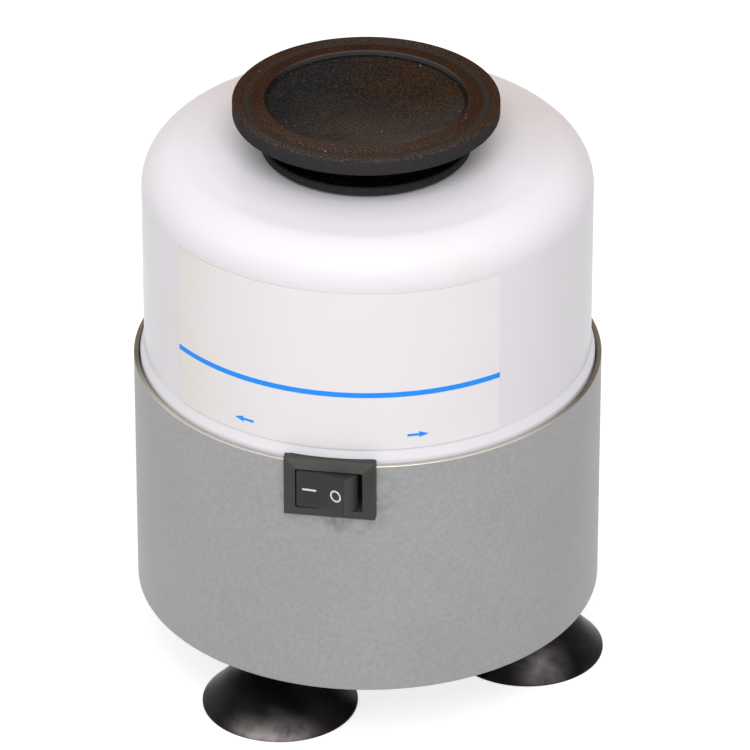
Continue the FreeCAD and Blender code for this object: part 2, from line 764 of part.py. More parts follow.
spring_arcs = []
for k in range(spring_steps):
    start, start_way = spring_point(k * spring_step)
    end, end_way = spring_point((k + 1) * spring_step)
    across = end - start
    ways = start_way + end_way
    square = 4 - ways.dot(ways)
    leg = (math.sqrt(across.dot(ways) ** 2 + square * across.dot(across)) - across.dot(ways)) / square
    start_knee = start + start_way * leg
    end_knee = end - end_way * leg
    join = (start_knee + end_knee) * 0.5
    spring_arcs.append(arc_by_tangents(start, start_knee, join))
    spring_arcs.append(arc_by_tangents(join, end_knee, end))
spring_start, spring_way = spring_point(0.0)
wire_section = Part.Wire(Part.makeCircle(spring_wire_r, spring_start, spring_way))
spring = Part.Wire(spring_arcs).makePipeShell([wire_section], True, False)
save("return_spring", spring)

# Microswitch under the plunger, on an angle bracket
micro = block(-micro_w / 2, micro_w / 2, -micro_t / 2, micro_t / 2, base_top, base_top + micro_h)
button_z = base_top + micro_h - micro_button_root
button_half_w = micro_button_w / 2
button_half_t = micro_button_t / 2
button_pocket = block(-button_half_w - micro_button_gap, button_half_w + micro_button_gap,
                      -button_half_t - micro_button_gap, button_half_t + micro_button_gap,
                      button_z - press_travel - micro_button_gap, base_top + micro_h)
micro_hole_z = base_top + micro_hole_up
micro_hole_x = [side * micro_hole_pitch / 2 for side in (-1, 1)]
bracket_back_y = bracket_y + bracket_t
micro_holes = [rod_y(micro_screw_r + hole_gap, -micro_t, bracket_back_y, x, micro_hole_z) for x in micro_hole_x]
save("microswitch_body", cut_all(micro, [button_pocket] + micro_holes))
save("microswitch_button", block(-button_half_w, button_half_w, -button_half_t, button_half_t, button_z, tip_z))
bracket = block(-micro_w / 2, micro_w / 2, bracket_y, bracket_back_y, base_top, base_top + bracket_height)
bracket_foot_y = bracket_y + bracket_foot
bracket_sole_top = base_top + bracket_t
bracket = bracket.fuse(block(-micro_w / 2, micro_w / 2, bracket_y, bracket_foot_y, base_top, bracket_sole_top))
foot_holes = [disc(micro_screw_r + hole_gap, base_top, bracket_sole_top, at) for at in bracket_screw_at]
save("microswitch_bracket", cut_all(bracket.removeSplitter(), micro_holes + foot_holes))
micro_screws = [screw_down(micro_screw_r, bracket_sole_top, base_z, at) for at in bracket_screw_at]
micro_head_r = micro_screw_r + screw_head_rim / 2
for x in micro_hole_x:
    shank = rod_y(micro_screw_r, -micro_t / 2, bracket_back_y, x, micro_hole_z)
    head = rod_y(micro_head_r, -micro_t / 2 - screw_head_h / 2, -micro_t / 2, x, micro_hole_z)
    micro_screws.append(shank.fuse(head))
save("microswitch_screws", *micro_screws)

# Capacitor standing on the base plate in a banded clamp
save("motor_capacitor", disc(capacitor_r, base_top, base_top + capacitor_h, capacitor_at))
band = ring(capacitor_r + clamp_band_t, capacitor_r, base_top, base_top + clamp_band_h, capacitor_at)
tab = block(clamp_tab_at[0] - clamp_tab / 2, clamp_tab_at[0] + clamp_tab / 2,
            capacitor_at[1], clamp_tab_at[1] + clamp_tab / 2, base_top, base_top + clamp_band_t)
tab = tab.cut(disc(capacitor_r, base_top, base_top + clamp_band_t, capacitor_at))
clamp_hole = disc(clamp_screw_small_r + hole_gap, base_top, base_top + clamp_band_t, clamp_tab_at)
save("capacitor_clamp", fuse_all([band, tab]).cut(clamp_hole))
save("capacitor_screw", screw_down(clamp_screw_small_r, base_top + clamp_band_t, base_z, clamp_tab_at))

# Terminal block by the cord inlet, with its clamping screws on top and fixing screws from below
block_top = base_top + block_h
pole_pitch = block_w / block_poles
terminal = block(-block_w / 2, block_w / 2, block_y, block_y + block_d, base_top, block_top)
terminal_screws = []
terminal_holes = []
for k in range(block_poles):
    at = ((k - (block_poles - 1) / 2) * pole_pitch, block_y + block_d / 2)
    tip = block_top - block_h / 2
    terminal_screws.append(screw_down(block_screw_r, block_top, tip, at))
    terminal_holes.append(disc(block_screw_r + thread_gap, tip, block_top, at))
for at in block_screw_at:
    tip = base_top + block_h / 3
    terminal_screws.append(screw_up(block_screw_r, base_z, tip, at))
    terminal_holes.append(disc(block_screw_r + thread_gap, base_top, tip, at))
save("terminal_block", cut_all(terminal, terminal_holes))
save("terminal_screws", *terminal_screws)
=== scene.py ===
import math
import bpy
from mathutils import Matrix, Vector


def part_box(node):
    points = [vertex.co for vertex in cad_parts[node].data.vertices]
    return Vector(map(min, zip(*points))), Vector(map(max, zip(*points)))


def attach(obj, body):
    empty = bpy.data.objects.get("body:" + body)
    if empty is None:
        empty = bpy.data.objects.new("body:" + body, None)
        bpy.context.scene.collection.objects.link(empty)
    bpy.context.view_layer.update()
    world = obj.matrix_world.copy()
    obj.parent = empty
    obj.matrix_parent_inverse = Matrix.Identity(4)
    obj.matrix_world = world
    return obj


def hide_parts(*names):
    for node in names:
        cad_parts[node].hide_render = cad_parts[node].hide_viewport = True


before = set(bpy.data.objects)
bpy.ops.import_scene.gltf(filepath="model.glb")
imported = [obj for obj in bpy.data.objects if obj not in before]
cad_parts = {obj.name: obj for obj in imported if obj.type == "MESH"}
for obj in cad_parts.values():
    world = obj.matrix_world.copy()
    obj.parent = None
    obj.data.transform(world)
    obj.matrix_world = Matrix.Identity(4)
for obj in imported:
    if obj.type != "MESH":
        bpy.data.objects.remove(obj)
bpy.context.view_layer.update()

# Suction feet: soft black rubber cups moulded in one piece, each pushed on a stud under the base plate.
# A thin flexible rim meets the bench, and the dome above it is shiny, with pale patches of dust and painted
# highlight on two of the feet.
mm = 0.001


def clear_selection():
    """Leave edit mode and deselect everything, so that an operator acts on the new piece alone."""
    if bpy.context.object and bpy.context.object.mode != "OBJECT":
        bpy.ops.object.mode_set(mode="OBJECT")
    bpy.ops.object.select_all(action="DESELECT")


def work_on(piece):
    """Select just one piece and make it the active one."""
    clear_selection()
    piece.select_set(True)
    bpy.context.view_layer.objects.active = piece


def round_corners(outline, arc_steps=5):
    """Points of an outline whose corners (along, up, radius) are rounded where the radius isn't 0."""
    points = []
    for k, (x, z, r) in enumerate(outline):
        if r == 0:
            points.append((x, z))
            continue
        before = outline[k - 1]
        after = outline[(k + 1) % len(outline)]
        ax, az = before[0] - x, before[1] - z
        bx, bz = after[0] - x, after[1] - z
        a_len, b_len = math.hypot(ax, az), math.hypot(bx, bz)
        ax, az, bx, bz = ax / a_len, az / a_len, bx / b_len, bz / b_len
        half = math.acos(max(-1.0, min(1.0, ax * bx + az * bz))) / 2
        reach = r / math.tan(half)
        mid_x, mid_z = ax + bx, az + bz
        mid_len = math.hypot(mid_x, mid_z)
        cx = x + mid_x / mid_len * r / math.sin(half)
        cz = z + mid_z / mid_len * r / math.sin(half)
        start = math.atan2(z + az * reach - cz, x + ax * reach - cx)
        end = math.atan2(z + bz * reach - cz, x + bx * reach - cx)
        turn = (end - start + math.pi) % (2 * math.pi) - math.pi
        steps = arc_steps if r < 3 * mm else 4 * arc_steps
        for step in range(steps + 1):
            angle = start + turn * step / steps
            points.append((cx + r * math.cos(angle), cz + r * math.sin(angle)))
    return points


def draw_outline(name, points, origin):
    """A line through points measured from an origin, extruded point by point and left in edit mode."""
    clear_selection()
    bpy.ops.mesh.primitive_plane_add(size=mm)
    piece = bpy.context.object
    piece.name = name
    bpy.ops.object.mode_set(mode="EDIT")
    bpy.ops.mesh.select_mode(type="VERT")
    bpy.ops.mesh.select_all(action="SELECT")
    bpy.ops.mesh.merge(type="CENTER")
    here = points[0]
    bpy.ops.transform.translate(value=[start + along for start, along in zip(origin, here)])
    for there in points[1:]:
        step = [b - a for a, b in zip(here, there)]
        bpy.ops.mesh.extrude_vertices_move(TRANSFORM_OT_translate={"value": step})
        here = there
    bpy.ops.mesh.select_all(action="SELECT")
    return piece


def turn_on_lathe(name, points, centre=(0.0, 0.0), steps=160):
    """A closed outline of (radius, height) points, spun about an upright axis."""
    outline = [(radius, 0.0, height) for radius, height in points + points[:1]]
    axis_foot = (*centre, 0.0)
    piece = draw_outline(name, outline, axis_foot)
    bpy.ops.mesh.spin(steps=steps, angle=2 * math.pi, center=axis_foot, axis=(0, 0, 1))
    bpy.ops.mesh.select_all(action="SELECT")
    bpy.ops.mesh.remove_doubles(threshold=0.002 * mm)
    bpy.ops.mesh.normals_make_consistent(inside=False)
    bpy.ops.object.mode_set(mode="OBJECT")
    return piece


def dress(piece, material, body, slot, *nodes, sharp=35.0):
    """Smooth a finished piece, give it its material and body, and let it stand for its solids."""
    work_on(piece)
    bpy.ops.object.shade_smooth_by_angle(angle=math.radians(sharp))
    piece.data.materials.clear()
    piece.data.materials.append(material)
    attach(piece, body)
    if nodes:
        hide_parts(*nodes)


def new_group(name, inputs, outputs):
    """A shader node group with named value inputs and outputs, and the nodes at its two ends."""
    group = bpy.data.node_groups.new(name, "ShaderNodeTree")
    for word, value in inputs.items():
        socket = group.interface.new_socket(word, in_out="INPUT", socket_type="NodeSocketFloat")
        socket.default_value = value
    for word in outputs:
        group.interface.new_socket(word, in_out="OUTPUT", socket_type="NodeSocketFloat")
    return group, group.nodes.new("NodeGroupInput"), group.nodes.new("NodeGroupOutput")


def add_node(tree, kind, **settings):
    """A node with its settings and the plain values of its inputs."""
    node = tree.nodes.new(kind)
    for key, value in settings.items():
        if key in node.inputs:
            node.inputs[key].default_value = value
        else:
            setattr(node, key, value)
    return node


def mottle_group():
    """Uneven tone: a noise field in metres, stretched to a mask."""
    values = {"Scale": 400.0, "Detail": 3.0, "Low": 0.35, "High": 0.65}
    group, start, end = new_group("mottle", values, ["Mask"])
    place = group.nodes.new("ShaderNodeTexCoord")
    noise = group.nodes.new("ShaderNodeTexNoise")
    spread = group.nodes.new("ShaderNodeMapRange")
    group.links.new(place.outputs["Object"], noise.inputs["Vector"])
    group.links.new(start.outputs["Scale"], noise.inputs["Scale"])
    group.links.new(start.outputs["Detail"], noise.inputs["Detail"])
    group.links.new(noise.outputs["Fac"], spread.inputs["Value"])
    group.links.new(start.outputs["Low"], spread.inputs["From Min"])
    group.links.new(start.outputs["High"], spread.inputs["From Max"])
    group.links.new(spread.outputs["Result"], end.inputs["Mask"])
    return group


def speck_group():
    """Scattered specks of dust or flake: small dots in random cells, fewer where Keep is near 1."""
    group, start, end = new_group("specks", {"Scale": 900.0, "Size": 0.2, "Keep": 0.6}, ["Mask"])
    place = group.nodes.new("ShaderNodeTexCoord")
    cells = add_node(group, "ShaderNodeTexVoronoi", feature="F1")
    dot = add_node(group, "ShaderNodeMapRange", **{"From Max": 0.0})
    chosen = add_node(group, "ShaderNodeMath", operation="GREATER_THAN")
    split = group.nodes.new("ShaderNodeSeparateColor")
    both = add_node(group, "ShaderNodeMath", operation="MULTIPLY")
    group.links.new(place.outputs["Object"], cells.inputs["Vector"])
    group.links.new(start.outputs["Scale"], cells.inputs["Scale"])
    group.links.new(cells.outputs["Distance"], dot.inputs["Value"])
    group.links.new(start.outputs["Size"], dot.inputs["From Min"])
    group.links.new(cells.outputs["Color"], split.inputs["Color"])
    group.links.new(split.outputs["Red"], chosen.inputs[0])
    group.links.new(start.outputs["Keep"], chosen.inputs[1])
    group.links.new(dot.outputs["Result"], both.inputs[0])
    group.links.new(chosen.outputs["Value"], both.inputs[1])
    group.links.new(both.outputs["Value"], end.inputs["Mask"])
    return group


mottle = mottle_group()
specks = speck_group()


def new_material(name, **values):
    """A material with a Principled shader, and the plain values of that shader."""
    material = bpy.data.materials.new(name)
    material.use_nodes = True
    shader = material.node_tree.nodes["Principled BSDF"]
    for socket, value in values.items():
        shader.inputs[socket].default_value = value
    return material, material.node_tree, shader


def use_group(tree, group, **values):
    """One use of a shared group with its own values, and its mask."""
    node = tree.nodes.new("ShaderNodeGroup")
    node.node_tree = group
    for socket, value in values.items():
        node.inputs[socket].default_value = value
    return node.outputs["Mask"]


def blend_colour(tree, mask, first, second):
    """The colour that goes from the first to the second where the mask is 1."""
    mix = add_node(tree, "ShaderNodeMix", data_type="RGBA")
    tree.links.new(mask, mix.inputs["Factor"])
    for socket, colour in ((mix.inputs[6], first), (mix.inputs[7], second)):
        if isinstance(colour, tuple):
            socket.default_value = (*colour, 1.0)
        else:
            tree.links.new(colour, socket)
    return mix.outputs[2]


def vary(tree, mask, low, high, socket):
    """Let a shader's value run from low to high with a mask."""
    span = add_node(tree, "ShaderNodeMapRange", **{"To Min": low, "To Max": high})
    tree.links.new(mask, span.inputs["Value"])
    tree.links.new(span.outputs["Result"], socket)


def spread_mask(tree, value, low, high):
    """A mask that runs from 0 to 1 as a value goes from low to high."""
    spread = add_node(tree, "ShaderNodeMapRange", **{"From Min": low, "From Max": high})
    tree.links.new(value, spread.inputs["Value"])
    return spread.outputs["Result"]


def place_from(tree, origin=(0.0, 0.0, 0.0)):
    """The vector from an origin to a point of the piece."""
    place = tree.nodes.new("ShaderNodeTexCoord")
    moved = add_node(tree, "ShaderNodeVectorMath", operation="SUBTRACT")
    moved.inputs[1].default_value = origin
    tree.links.new(place.outputs["Object"], moved.inputs[0])
    return moved.outputs["Vector"]


def axes_of(tree, vector):
    """The x, y and z outputs of a vector."""
    axes = tree.nodes.new("ShaderNodeSeparateXYZ")
    tree.links.new(vector, axes.inputs["Vector"])
    return axes.outputs


def length_of(tree, vector, weights=(1.0, 1.0, 0.0)):
    """The length of a vector with its axes weighted, or its distance from the upright axis."""
    level = add_node(tree, "ShaderNodeVectorMath", operation="MULTIPLY")
    level.inputs[1].default_value = weights
    tree.links.new(vector, level.inputs[0])
    length = add_node(tree, "ShaderNodeVectorMath", operation="LENGTH")
    tree.links.new(level.outputs["Vector"], length.inputs[0])
    return length.outputs["Value"]


def both_masks(tree, first, second):
    """The mask that is 1 only where two masks are."""
    product = add_node(tree, "ShaderNodeMath", operation="MULTIPLY")
    tree.links.new(first, product.inputs[0])
    tree.links.new(second, product.inputs[1])
    return product.outputs["Value"]


def either_mask(tree, first, second):
    """The mask that is 1 where either of two masks is."""
    larger = add_node(tree, "ShaderNodeMath", operation="MAXIMUM")
    tree.links.new(first, larger.inputs[0])
    tree.links.new(second, larger.inputs[1])
    return larger.outputs["Value"]


def emboss(tree, shader, mask, depth, strength=1.0):
    """Raise the surface by a mask, with the depth in metres."""
    bump = add_node(tree, "ShaderNodeBump", Strength=strength, Distance=depth)
    tree.links.new(mask, bump.inputs["Height"])
    tree.links.new(bump.outputs["Normal"], shader.inputs["Normal"])


def foot_rubber():
    """Shiny black rubber with grey streaks, and pale patches of dust and painted highlight low on the front
    foot and on the side of the right one.
    """
    material, tree, shader = new_material("foot_rubber", **{"Specular IOR Level": 0.06})
    low_down = spread_mask(tree, axes_of(tree, place_from(tree))["Z"], 5.5 * mm, 1.2 * mm)
    from_front = length_of(tree, place_from(tree, (-15.0 * mm, -48.0 * mm, 0.0)))
    from_side = length_of(tree, place_from(tree, (43.0 * mm, -13.0 * mm, 0.0)))
    # Dust with a painted highlight: pale patches low on the front foot and on the right foot's side stand in
    # for highlights there.
    front_dust_and_highlight = both_masks(tree, low_down, spread_mask(tree, from_front, 14.0 * mm, 5.0 * mm))
    side_dust_and_highlight = spread_mask(tree, from_side, 9.5 * mm, 0.0)
    streak = use_group(tree, mottle, Scale=75.0, Detail=4.0, Low=0.46, High=0.72)
    smudge = use_group(tree, mottle, Scale=190.0, Detail=6.0, Low=0.24, High=0.58)
    grain = use_group(tree, mottle, Scale=900.0, Detail=3.0, Low=0.3, High=0.7)
    greyed = blend_colour(tree, streak, (0.003, 0.0026, 0.0024), (0.020, 0.017, 0.0155))
    patch = either_mask(tree, front_dust_and_highlight, side_dust_and_highlight)
    dust_and_highlight = both_masks(tree, both_masks(tree, patch, patch), smudge)
    tree.links.new(blend_colour(tree, dust_and_highlight, greyed, (0.30, 0.27, 0.265)), shader.inputs["Base Color"])
    vary(tree, streak, 0.28, 0.46, shader.inputs["Roughness"])
    emboss(tree, shader, grain, 0.015 * mm)
    return material


foot_black = foot_rubber()
foot_rim_t = 0.6 * mm
foot_hollow = 5.0 * mm
foot_hollow_bulge = (0.55, 0.72)
foot_dome_h = 11.0 * mm
foot_dome_bulge = 0.53
foot_neck_r = 6.9 * mm
for node in ("foot_front_left", "foot_right", "foot_rear_left"):
    low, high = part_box(node)
    centre = ((low.x + high.x) / 2, (low.y + high.y) / 2)
    rim_r = (high.x - low.x) / 2
    hollow_r = rim_r - foot_rim_t
    dome_run = rim_r - foot_neck_r
    dome_drop = foot_dome_h - foot_rim_t
    outline = [
        (hollow_r, 0.0, 0.0),
        (rim_r, 0.0, 0.15 * mm),
        (rim_r, foot_rim_t, 0.3 * mm),
        (foot_neck_r + dome_run * foot_dome_bulge, foot_rim_t + dome_drop * foot_dome_bulge, 22.0 * mm),
        (foot_neck_r, foot_dome_h, 3.0 * mm),
        (foot_neck_r, high.z, 0.0),
        (0.0, high.z, 0.0),
        (0.0, foot_hollow, 0.0),
        (hollow_r * foot_hollow_bulge[0], foot_hollow * foot_hollow_bulge[1], 12.0 * mm),
    ]
    foot = turn_on_lathe(node + "_rubber", round_corners(outline, 6), centre, 96)
    dress(foot, foot_black, "base", "foot_rubber", node)

# Base plate, motor plate and brackets: zinc-plated sheet steel, punched and left bare.
# They stay the frame's own solids, and only their finish is made here.


def finish_solids(material, *nodes):
    """Give the frame's own solids a finish."""
    for node in nodes:
        for material_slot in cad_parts[node].material_slots:
            material_slot.material = material


def metal(name, dark, light, rough_low, rough_high, grain_scale, grain_depth):
    """Bare or plated metal with a fine grain and uneven polish."""
    material, tree, shader = new_material(name, Metallic=1.0)
    cloud = use_group(tree, mottle, Scale=120.0, Detail=4.0, Low=0.3, High=0.7)
    grain = use_group(tree, mottle, Scale=grain_scale, Detail=2.0, Low=0.3, High=0.7)
    tree.links.new(blend_colour(tree, cloud, dark, light), shader.inputs["Base Color"])
    vary(tree, cloud, rough_low, rough_high, shader.inputs["Roughness"])
    emboss(tree, shader, grain, grain_depth)
    return material


zinc_sheet = metal("zinc_sheet", (0.50, 0.51, 0.53), (0.66, 0.66, 0.67), 0.32, 0.5, 900.0, 0.02 * mm)
finish_solids(zinc_sheet, "base_plate", "motor_plate", "microswitch_bracket", "capacitor_clamp")

# Screws, studs and nuts: zinc-plated steel fasteners that clamp the cover, feet, mounts and motor.
# Turned spacers of bare aluminium hold the cover at its height above the base plate.
zinc_screw = metal("zinc_screw", (0.55, 0.55, 0.53), (0.72, 0.72, 0.69), 0.25, 0.4, 1500.0, 0.01 * mm)
finish_solids(zinc_screw, "cover_screws", "foot_studs", "foot_nuts", "isolator_screws", "motor_bolts",
              "guide_screws", "microswitch_screws", "capacitor_screw", "hub_set_screw",
              "counterweight_screws")
turned_alloy = metal("turned_alloy", (0.60, 0.61, 0.63), (0.75, 0.76, 0.78), 0.22, 0.36, 2500.0, 0.01 * mm)
finish_solids(turned_alloy, "cover_spacers", "eccentric_hub", "head_hub", "motor_capacitor")

# Sleeve: a drum of sheet steel with a welded, ground-off seam, rolled in at the bottom.
# It is sprayed with fine-textured silver-grey paint, and its cut top edge is left bare and has gone dull,
# with painted shade at its sides and a painted highlight in front.
sleeve_low, sleeve_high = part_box("sleeve")
sleeve_r = (sleeve_high.x - sleeve_low.x) / 2
sleeve_wall = 1.2 * mm
sleeve_in_r = sleeve_r - sleeve_wall
sleeve_lip_width = 7.9 * mm
sleeve_lip_in = sleeve_in_r - sleeve_lip_width
sleeve_roll_r = 0.7 * mm
rim_z = sleeve_high.z
paint_edge = 0.25 * mm
sleeve_outline = [
    (sleeve_lip_in, sleeve_low.z, 0.3 * mm),
    (sleeve_r, sleeve_low.z, sleeve_roll_r),
    (sleeve_r, rim_z, paint_edge),
    (sleeve_in_r, rim_z, paint_edge),
    (sleeve_in_r, sleeve_low.z + sleeve_wall, 0.0),
    (sleeve_lip_in, sleeve_low.z + sleeve_wall, 0.3 * mm),
]
sleeve = turn_on_lathe("sleeve_sheet", round_corners(sleeve_outline), steps=192)


def combine(piece, other, operation):
    """Join another mesh to a piece or cut it out, and remove that mesh."""
    work_on(piece)
    change = piece.modifiers.new("change", "BOOLEAN")
    change.operation = operation
    change.solver = "EXACT"
    change.object = other
    bpy.ops.object.modifier_apply(modifier="change")
    bpy.data.objects.remove(other)


def plain_block(low, high):
    """A block between two corners, used as a cutter or as the start of a piece."""
    clear_selection()
    middle = [(a + b) / 2 for a, b in zip(low, high)]
    bpy.ops.mesh.primitive_cube_add(size=1.0, location=middle)
    block = bpy.context.object
    block.scale = [b - a for a, b in zip(low, high)]
    bpy.ops.object.transform_apply(location=True, rotation=False, scale=True)
    return block


def plain_cylinder(radius, depth, place, lie=0.0, sides=64):
    """A round cutter at a place, upright or laid over by an angle about x."""
    clear_selection()
    bpy.ops.mesh.primitive_cylinder_add(vertices=sides, radius=radius, depth=depth, location=place,
                                        rotation=(lie, 0, 0))
    bpy.ops.object.transform_apply(location=True, rotation=True, scale=False)
    return bpy.context.object


switch_low, switch_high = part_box("switch_housing")
switch_z = (switch_low.z + switch_high.z) / 2
notch_half_w = 9.7 * mm
notch_half_h = 6.65 * mm
notch_back = -40 * mm
cut_past = 5 * mm
notch = plain_block((-notch_half_w, -sleeve_r - cut_past, switch_z - notch_half_h),
                    (notch_half_w, notch_back, rim_z + cut_past))
combine(sleeve, notch, "DIFFERENCE")
inlet_low, inlet_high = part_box("cord_grommet")
inlet_z = (inlet_low.z + inlet_high.z) / 2
inlet_hole_r = 5.5 * mm
inlet_hole = plain_cylinder(inlet_hole_r, 20 * mm, (0, sleeve_r, inlet_z), lie=math.pi / 2)
combine(sleeve, inlet_hole, "DIFFERENCE")


def textured_paint():
    """Fine-textured silver-grey paint with flakes in it, and darker patches round the switch, most of them
    just below it.
    """
    material, tree, shader = new_material("textured_paint", **{"Metallic": 0.4, "Specular IOR Level": 0.35})
    grain = use_group(tree, mottle, Scale=1000.0, Detail=3.0, Low=0.28, High=0.72)
    cloud = use_group(tree, mottle, Scale=45.0, Detail=3.0, Low=0.3, High=0.7)
    flake = use_group(tree, specks, Scale=1500.0, Size=0.3, Keep=0.78)
    blotches = use_group(tree, mottle, Scale=320.0, Detail=5.0, Low=0.42, High=0.68)
    grey = blend_colour(tree, grain, (0.282, 0.282, 0.282), (0.397, 0.397, 0.397))
    warm = blend_colour(tree, cloud, (0.322, 0.322, 0.323), (0.362, 0.359, 0.357))
    half = add_node(tree, "ShaderNodeMix", data_type="RGBA")
    half.inputs["Factor"].default_value = 0.5
    tree.links.new(grey, half.inputs[6])
    tree.links.new(warm, half.inputs[7])
    bright = blend_colour(tree, flake, half.outputs[2], (0.375, 0.375, 0.38))
    from_switch = length_of(tree, place_from(tree, (2 * mm, -sleeve_r, switch_z - 3 * mm)), (1.0, 1.0, 1.3))
    # The paint is darker in patches round the switch, most of all just below the bezel.
    dark_patches_round_switch = both_masks(tree, spread_mask(tree, from_switch, 15 * mm, 6 * mm), blotches)
    tree.links.new(blend_colour(tree, dark_patches_round_switch, bright, (0.17, 0.155, 0.145)), shader.inputs["Base Color"])
    vary(tree, grain, 0.42, 0.55, shader.inputs["Roughness"])
    emboss(tree, shader, grain, 0.05 * mm, 0.5)
    return material


def bare_edge():
    """The cut edge of the sheet: painted shade darkens it at the sides and back, and a painted highlight
    brightens it in front.
    """
    material, tree, shader = new_material("bare_edge", Metallic=1.0)
    # Painted light: the edge is pale in front as a painted highlight, and dark at the sides and back as
    # painted shade.
    lit_front = spread_mask(tree, axes_of(tree, place_from(tree))["Y"], -14 * mm, -36 * mm)
    grain = use_group(tree, mottle, Scale=2200.0, Detail=2.0, Low=0.3, High=0.7)
    dark_tone = blend_colour(tree, grain, (0.13, 0.105, 0.085), (0.21, 0.175, 0.145))
    tree.links.new(blend_colour(tree, lit_front, dark_tone, (0.62, 0.58, 0.52)), shader.inputs["Base Color"])
    vary(tree, grain, 0.4, 0.55, shader.inputs["Roughness"])
    return material


def coat_faces(piece, material, wanted):
    """Give the faces that a test of their centre and normal picks a material of their own."""
    piece.data.materials.append(material)
    for face in piece.data.polygons:
        if wanted(face.center, face.normal):
            face.material_index = len(piece.data.materials) - 1


dress(sleeve, textured_paint(), "base", "painted_sheet", "sleeve")
coat_faces(sleeve, bare_edge(), lambda centre, normal: centre.z > rim_z - 0.6 * paint_edge)

# Cord grommet: a ring of moulded rubber snapped into the hole at the back of the sleeve.
# The rubber mounts under the motor plate are the same compound.


def moulded_rubber():
    """Dull black rubber with a fine grain."""
    material, tree, shader = new_material("moulded_rubber", **{"Specular IOR Level": 0.4})
    cloud = use_group(tree, mottle, Scale=150.0, Detail=4.0, Low=0.35, High=0.7)
    grain = use_group(tree, mottle, Scale=1800.0, Detail=2.0, Low=0.3, High=0.7)
    tree.links.new(blend_colour(tree, cloud, (0.015, 0.015, 0.015), (0.035, 0.034, 0.033)),
                   shader.inputs["Base Color"])
    vary(tree, cloud, 0.5, 0.68, shader.inputs["Roughness"])
    emboss(tree, shader, grain, 0.03 * mm)
    return material


finish_solids(moulded_rubber(), "cord_grommet", "isolator_front", "isolator_rear", "isolator_left")

# Motor: die-cast end bells clamp a laminated stator with varnished copper windings.
# The rotor turns in sintered bronze bushes, with its core of the same laminations.
finish_solids(metal("cast_alloy", (0.45, 0.46, 0.47), (0.6, 0.6, 0.61), 0.42, 0.6, 700.0, 0.06 * mm),
              "lower_end_bell", "upper_end_bell")
finish_solids(metal("laminations", (0.2, 0.2, 0.21), (0.34, 0.34, 0.35), 0.35, 0.5, 1400.0, 0.03 * mm),
              "stator_core", "rotor_core")
finish_solids(metal("copper_winding", (0.42, 0.15, 0.05), (0.62, 0.26, 0.1), 0.22, 0.36, 1800.0, 0.12 * mm),
              "stator_windings")
finish_solids(metal("bronze", (0.42, 0.27, 0.1), (0.56, 0.38, 0.17), 0.35, 0.5, 1500.0, 0.02 * mm),
              "lower_bush", "upper_bush")
finish_solids(metal("bright_steel", (0.6, 0.6, 0.61), (0.74, 0.74, 0.75), 0.12, 0.24, 2500.0, 0.008 * mm),
              "motor_shaft", "shaft_collar", "eccentric_pin", "pin_circlip", "bearing_spacer",
              "lower_bearing_inner", "lower_bearing_outer", "lower_bearing_balls",
              "upper_bearing_inner", "upper_bearing_outer", "upper_bearing_balls",
              "thrust_ball", "touch_plunger", "return_spring")
finish_solids(metal("brass", (0.6, 0.43, 0.17), (0.78, 0.6, 0.3), 0.22, 0.38, 1500.0, 0.015 * mm),
              "counterweight", "switch_terminals", "terminal_screws")

# Plunger guide, microswitch and terminal block: small mouldings that work the press-to-run contact.
# Natural acetal slides well, and the switch body and the block are harder filled plastics.


def plain_moulding(name, dark, light, rough_low, rough_high, gloss=0.45):
    """Moulded plastic with a faint cloud of tone and a fine spark-eroded texture."""
    material, tree, shader = new_material(name, **{"Specular IOR Level": gloss})
    cloud = use_group(tree, mottle, Scale=90.0, Detail=3.0, Low=0.3, High=0.7)
    grain = use_group(tree, mottle, Scale=2600.0, Detail=2.0, Low=0.3, High=0.7)
    tree.links.new(blend_colour(tree, cloud, dark, light), shader.inputs["Base Color"])
    vary(tree, cloud, rough_low, rough_high, shader.inputs["Roughness"])
    emboss(tree, shader, grain, 0.02 * mm, 0.6)
    return material


finish_solids(plain_moulding("acetal", (0.70, 0.69, 0.65), (0.78, 0.77, 0.73), 0.35, 0.45),
              "plunger_guide", "thrust_washer", "terminal_block")
finish_solids(plain_moulding("phenolic", (0.03, 0.03, 0.033), (0.05, 0.05, 0.054), 0.4, 0.55),
              "microswitch_body")
finish_solids(plain_moulding("red_button", (0.45, 0.03, 0.025), (0.55, 0.05, 0.04), 0.3, 0.4),
              "microswitch_button")

# Switch housing: black nylon, one moulding of a bevelled bezel and the box behind it.
# The bezel's back is curved to sit on the sleeve, and the box passes through the notch.
bezel_front = switch_low.y
bezel_half_w = (switch_high.x - switch_low.x) / 2
bezel_half_h = (switch_high.z - switch_low.z) / 2
bezel_slope = 0.9 * mm
opening_half_w = 7.7 * mm
opening_half_h = 5.0 * mm
opening_depth = 7.6 * mm
box_half_w = 9.5 * mm
box_half_h = 6.45 * mm
switch_back = switch_high.y


def select_faces(piece, wanted):
    """Select just the faces that pass a test on their centre and normal, ready for edit mode."""
    for element in (*piece.data.vertices, *piece.data.edges):
        element.select = False
    for face in piece.data.polygons:
        face.select = wanted(face.center, face.normal)


bezel_frame = bezel_half_h - opening_half_h
bezel_inside_sleeve = 3 * mm
bezel = plain_block((-bezel_half_w, bezel_front + bezel_slope, switch_z - bezel_half_h),
                    (bezel_half_w, -sleeve_r + bezel_inside_sleeve, switch_z + bezel_half_h))
bezel.name = "switch_bezel"
select_faces(bezel, lambda centre, normal: normal.y < -0.9)
bpy.ops.object.mode_set(mode="EDIT")
bpy.ops.mesh.select_mode(type="FACE")
bpy.ops.mesh.inset(thickness=bezel_frame)
bpy.ops.transform.translate(value=(0, -bezel_slope, 0))
bpy.ops.transform.resize(value=(opening_half_w / (bezel_half_w - bezel_frame), 1, 1))
bpy.ops.object.mode_set(mode="OBJECT")


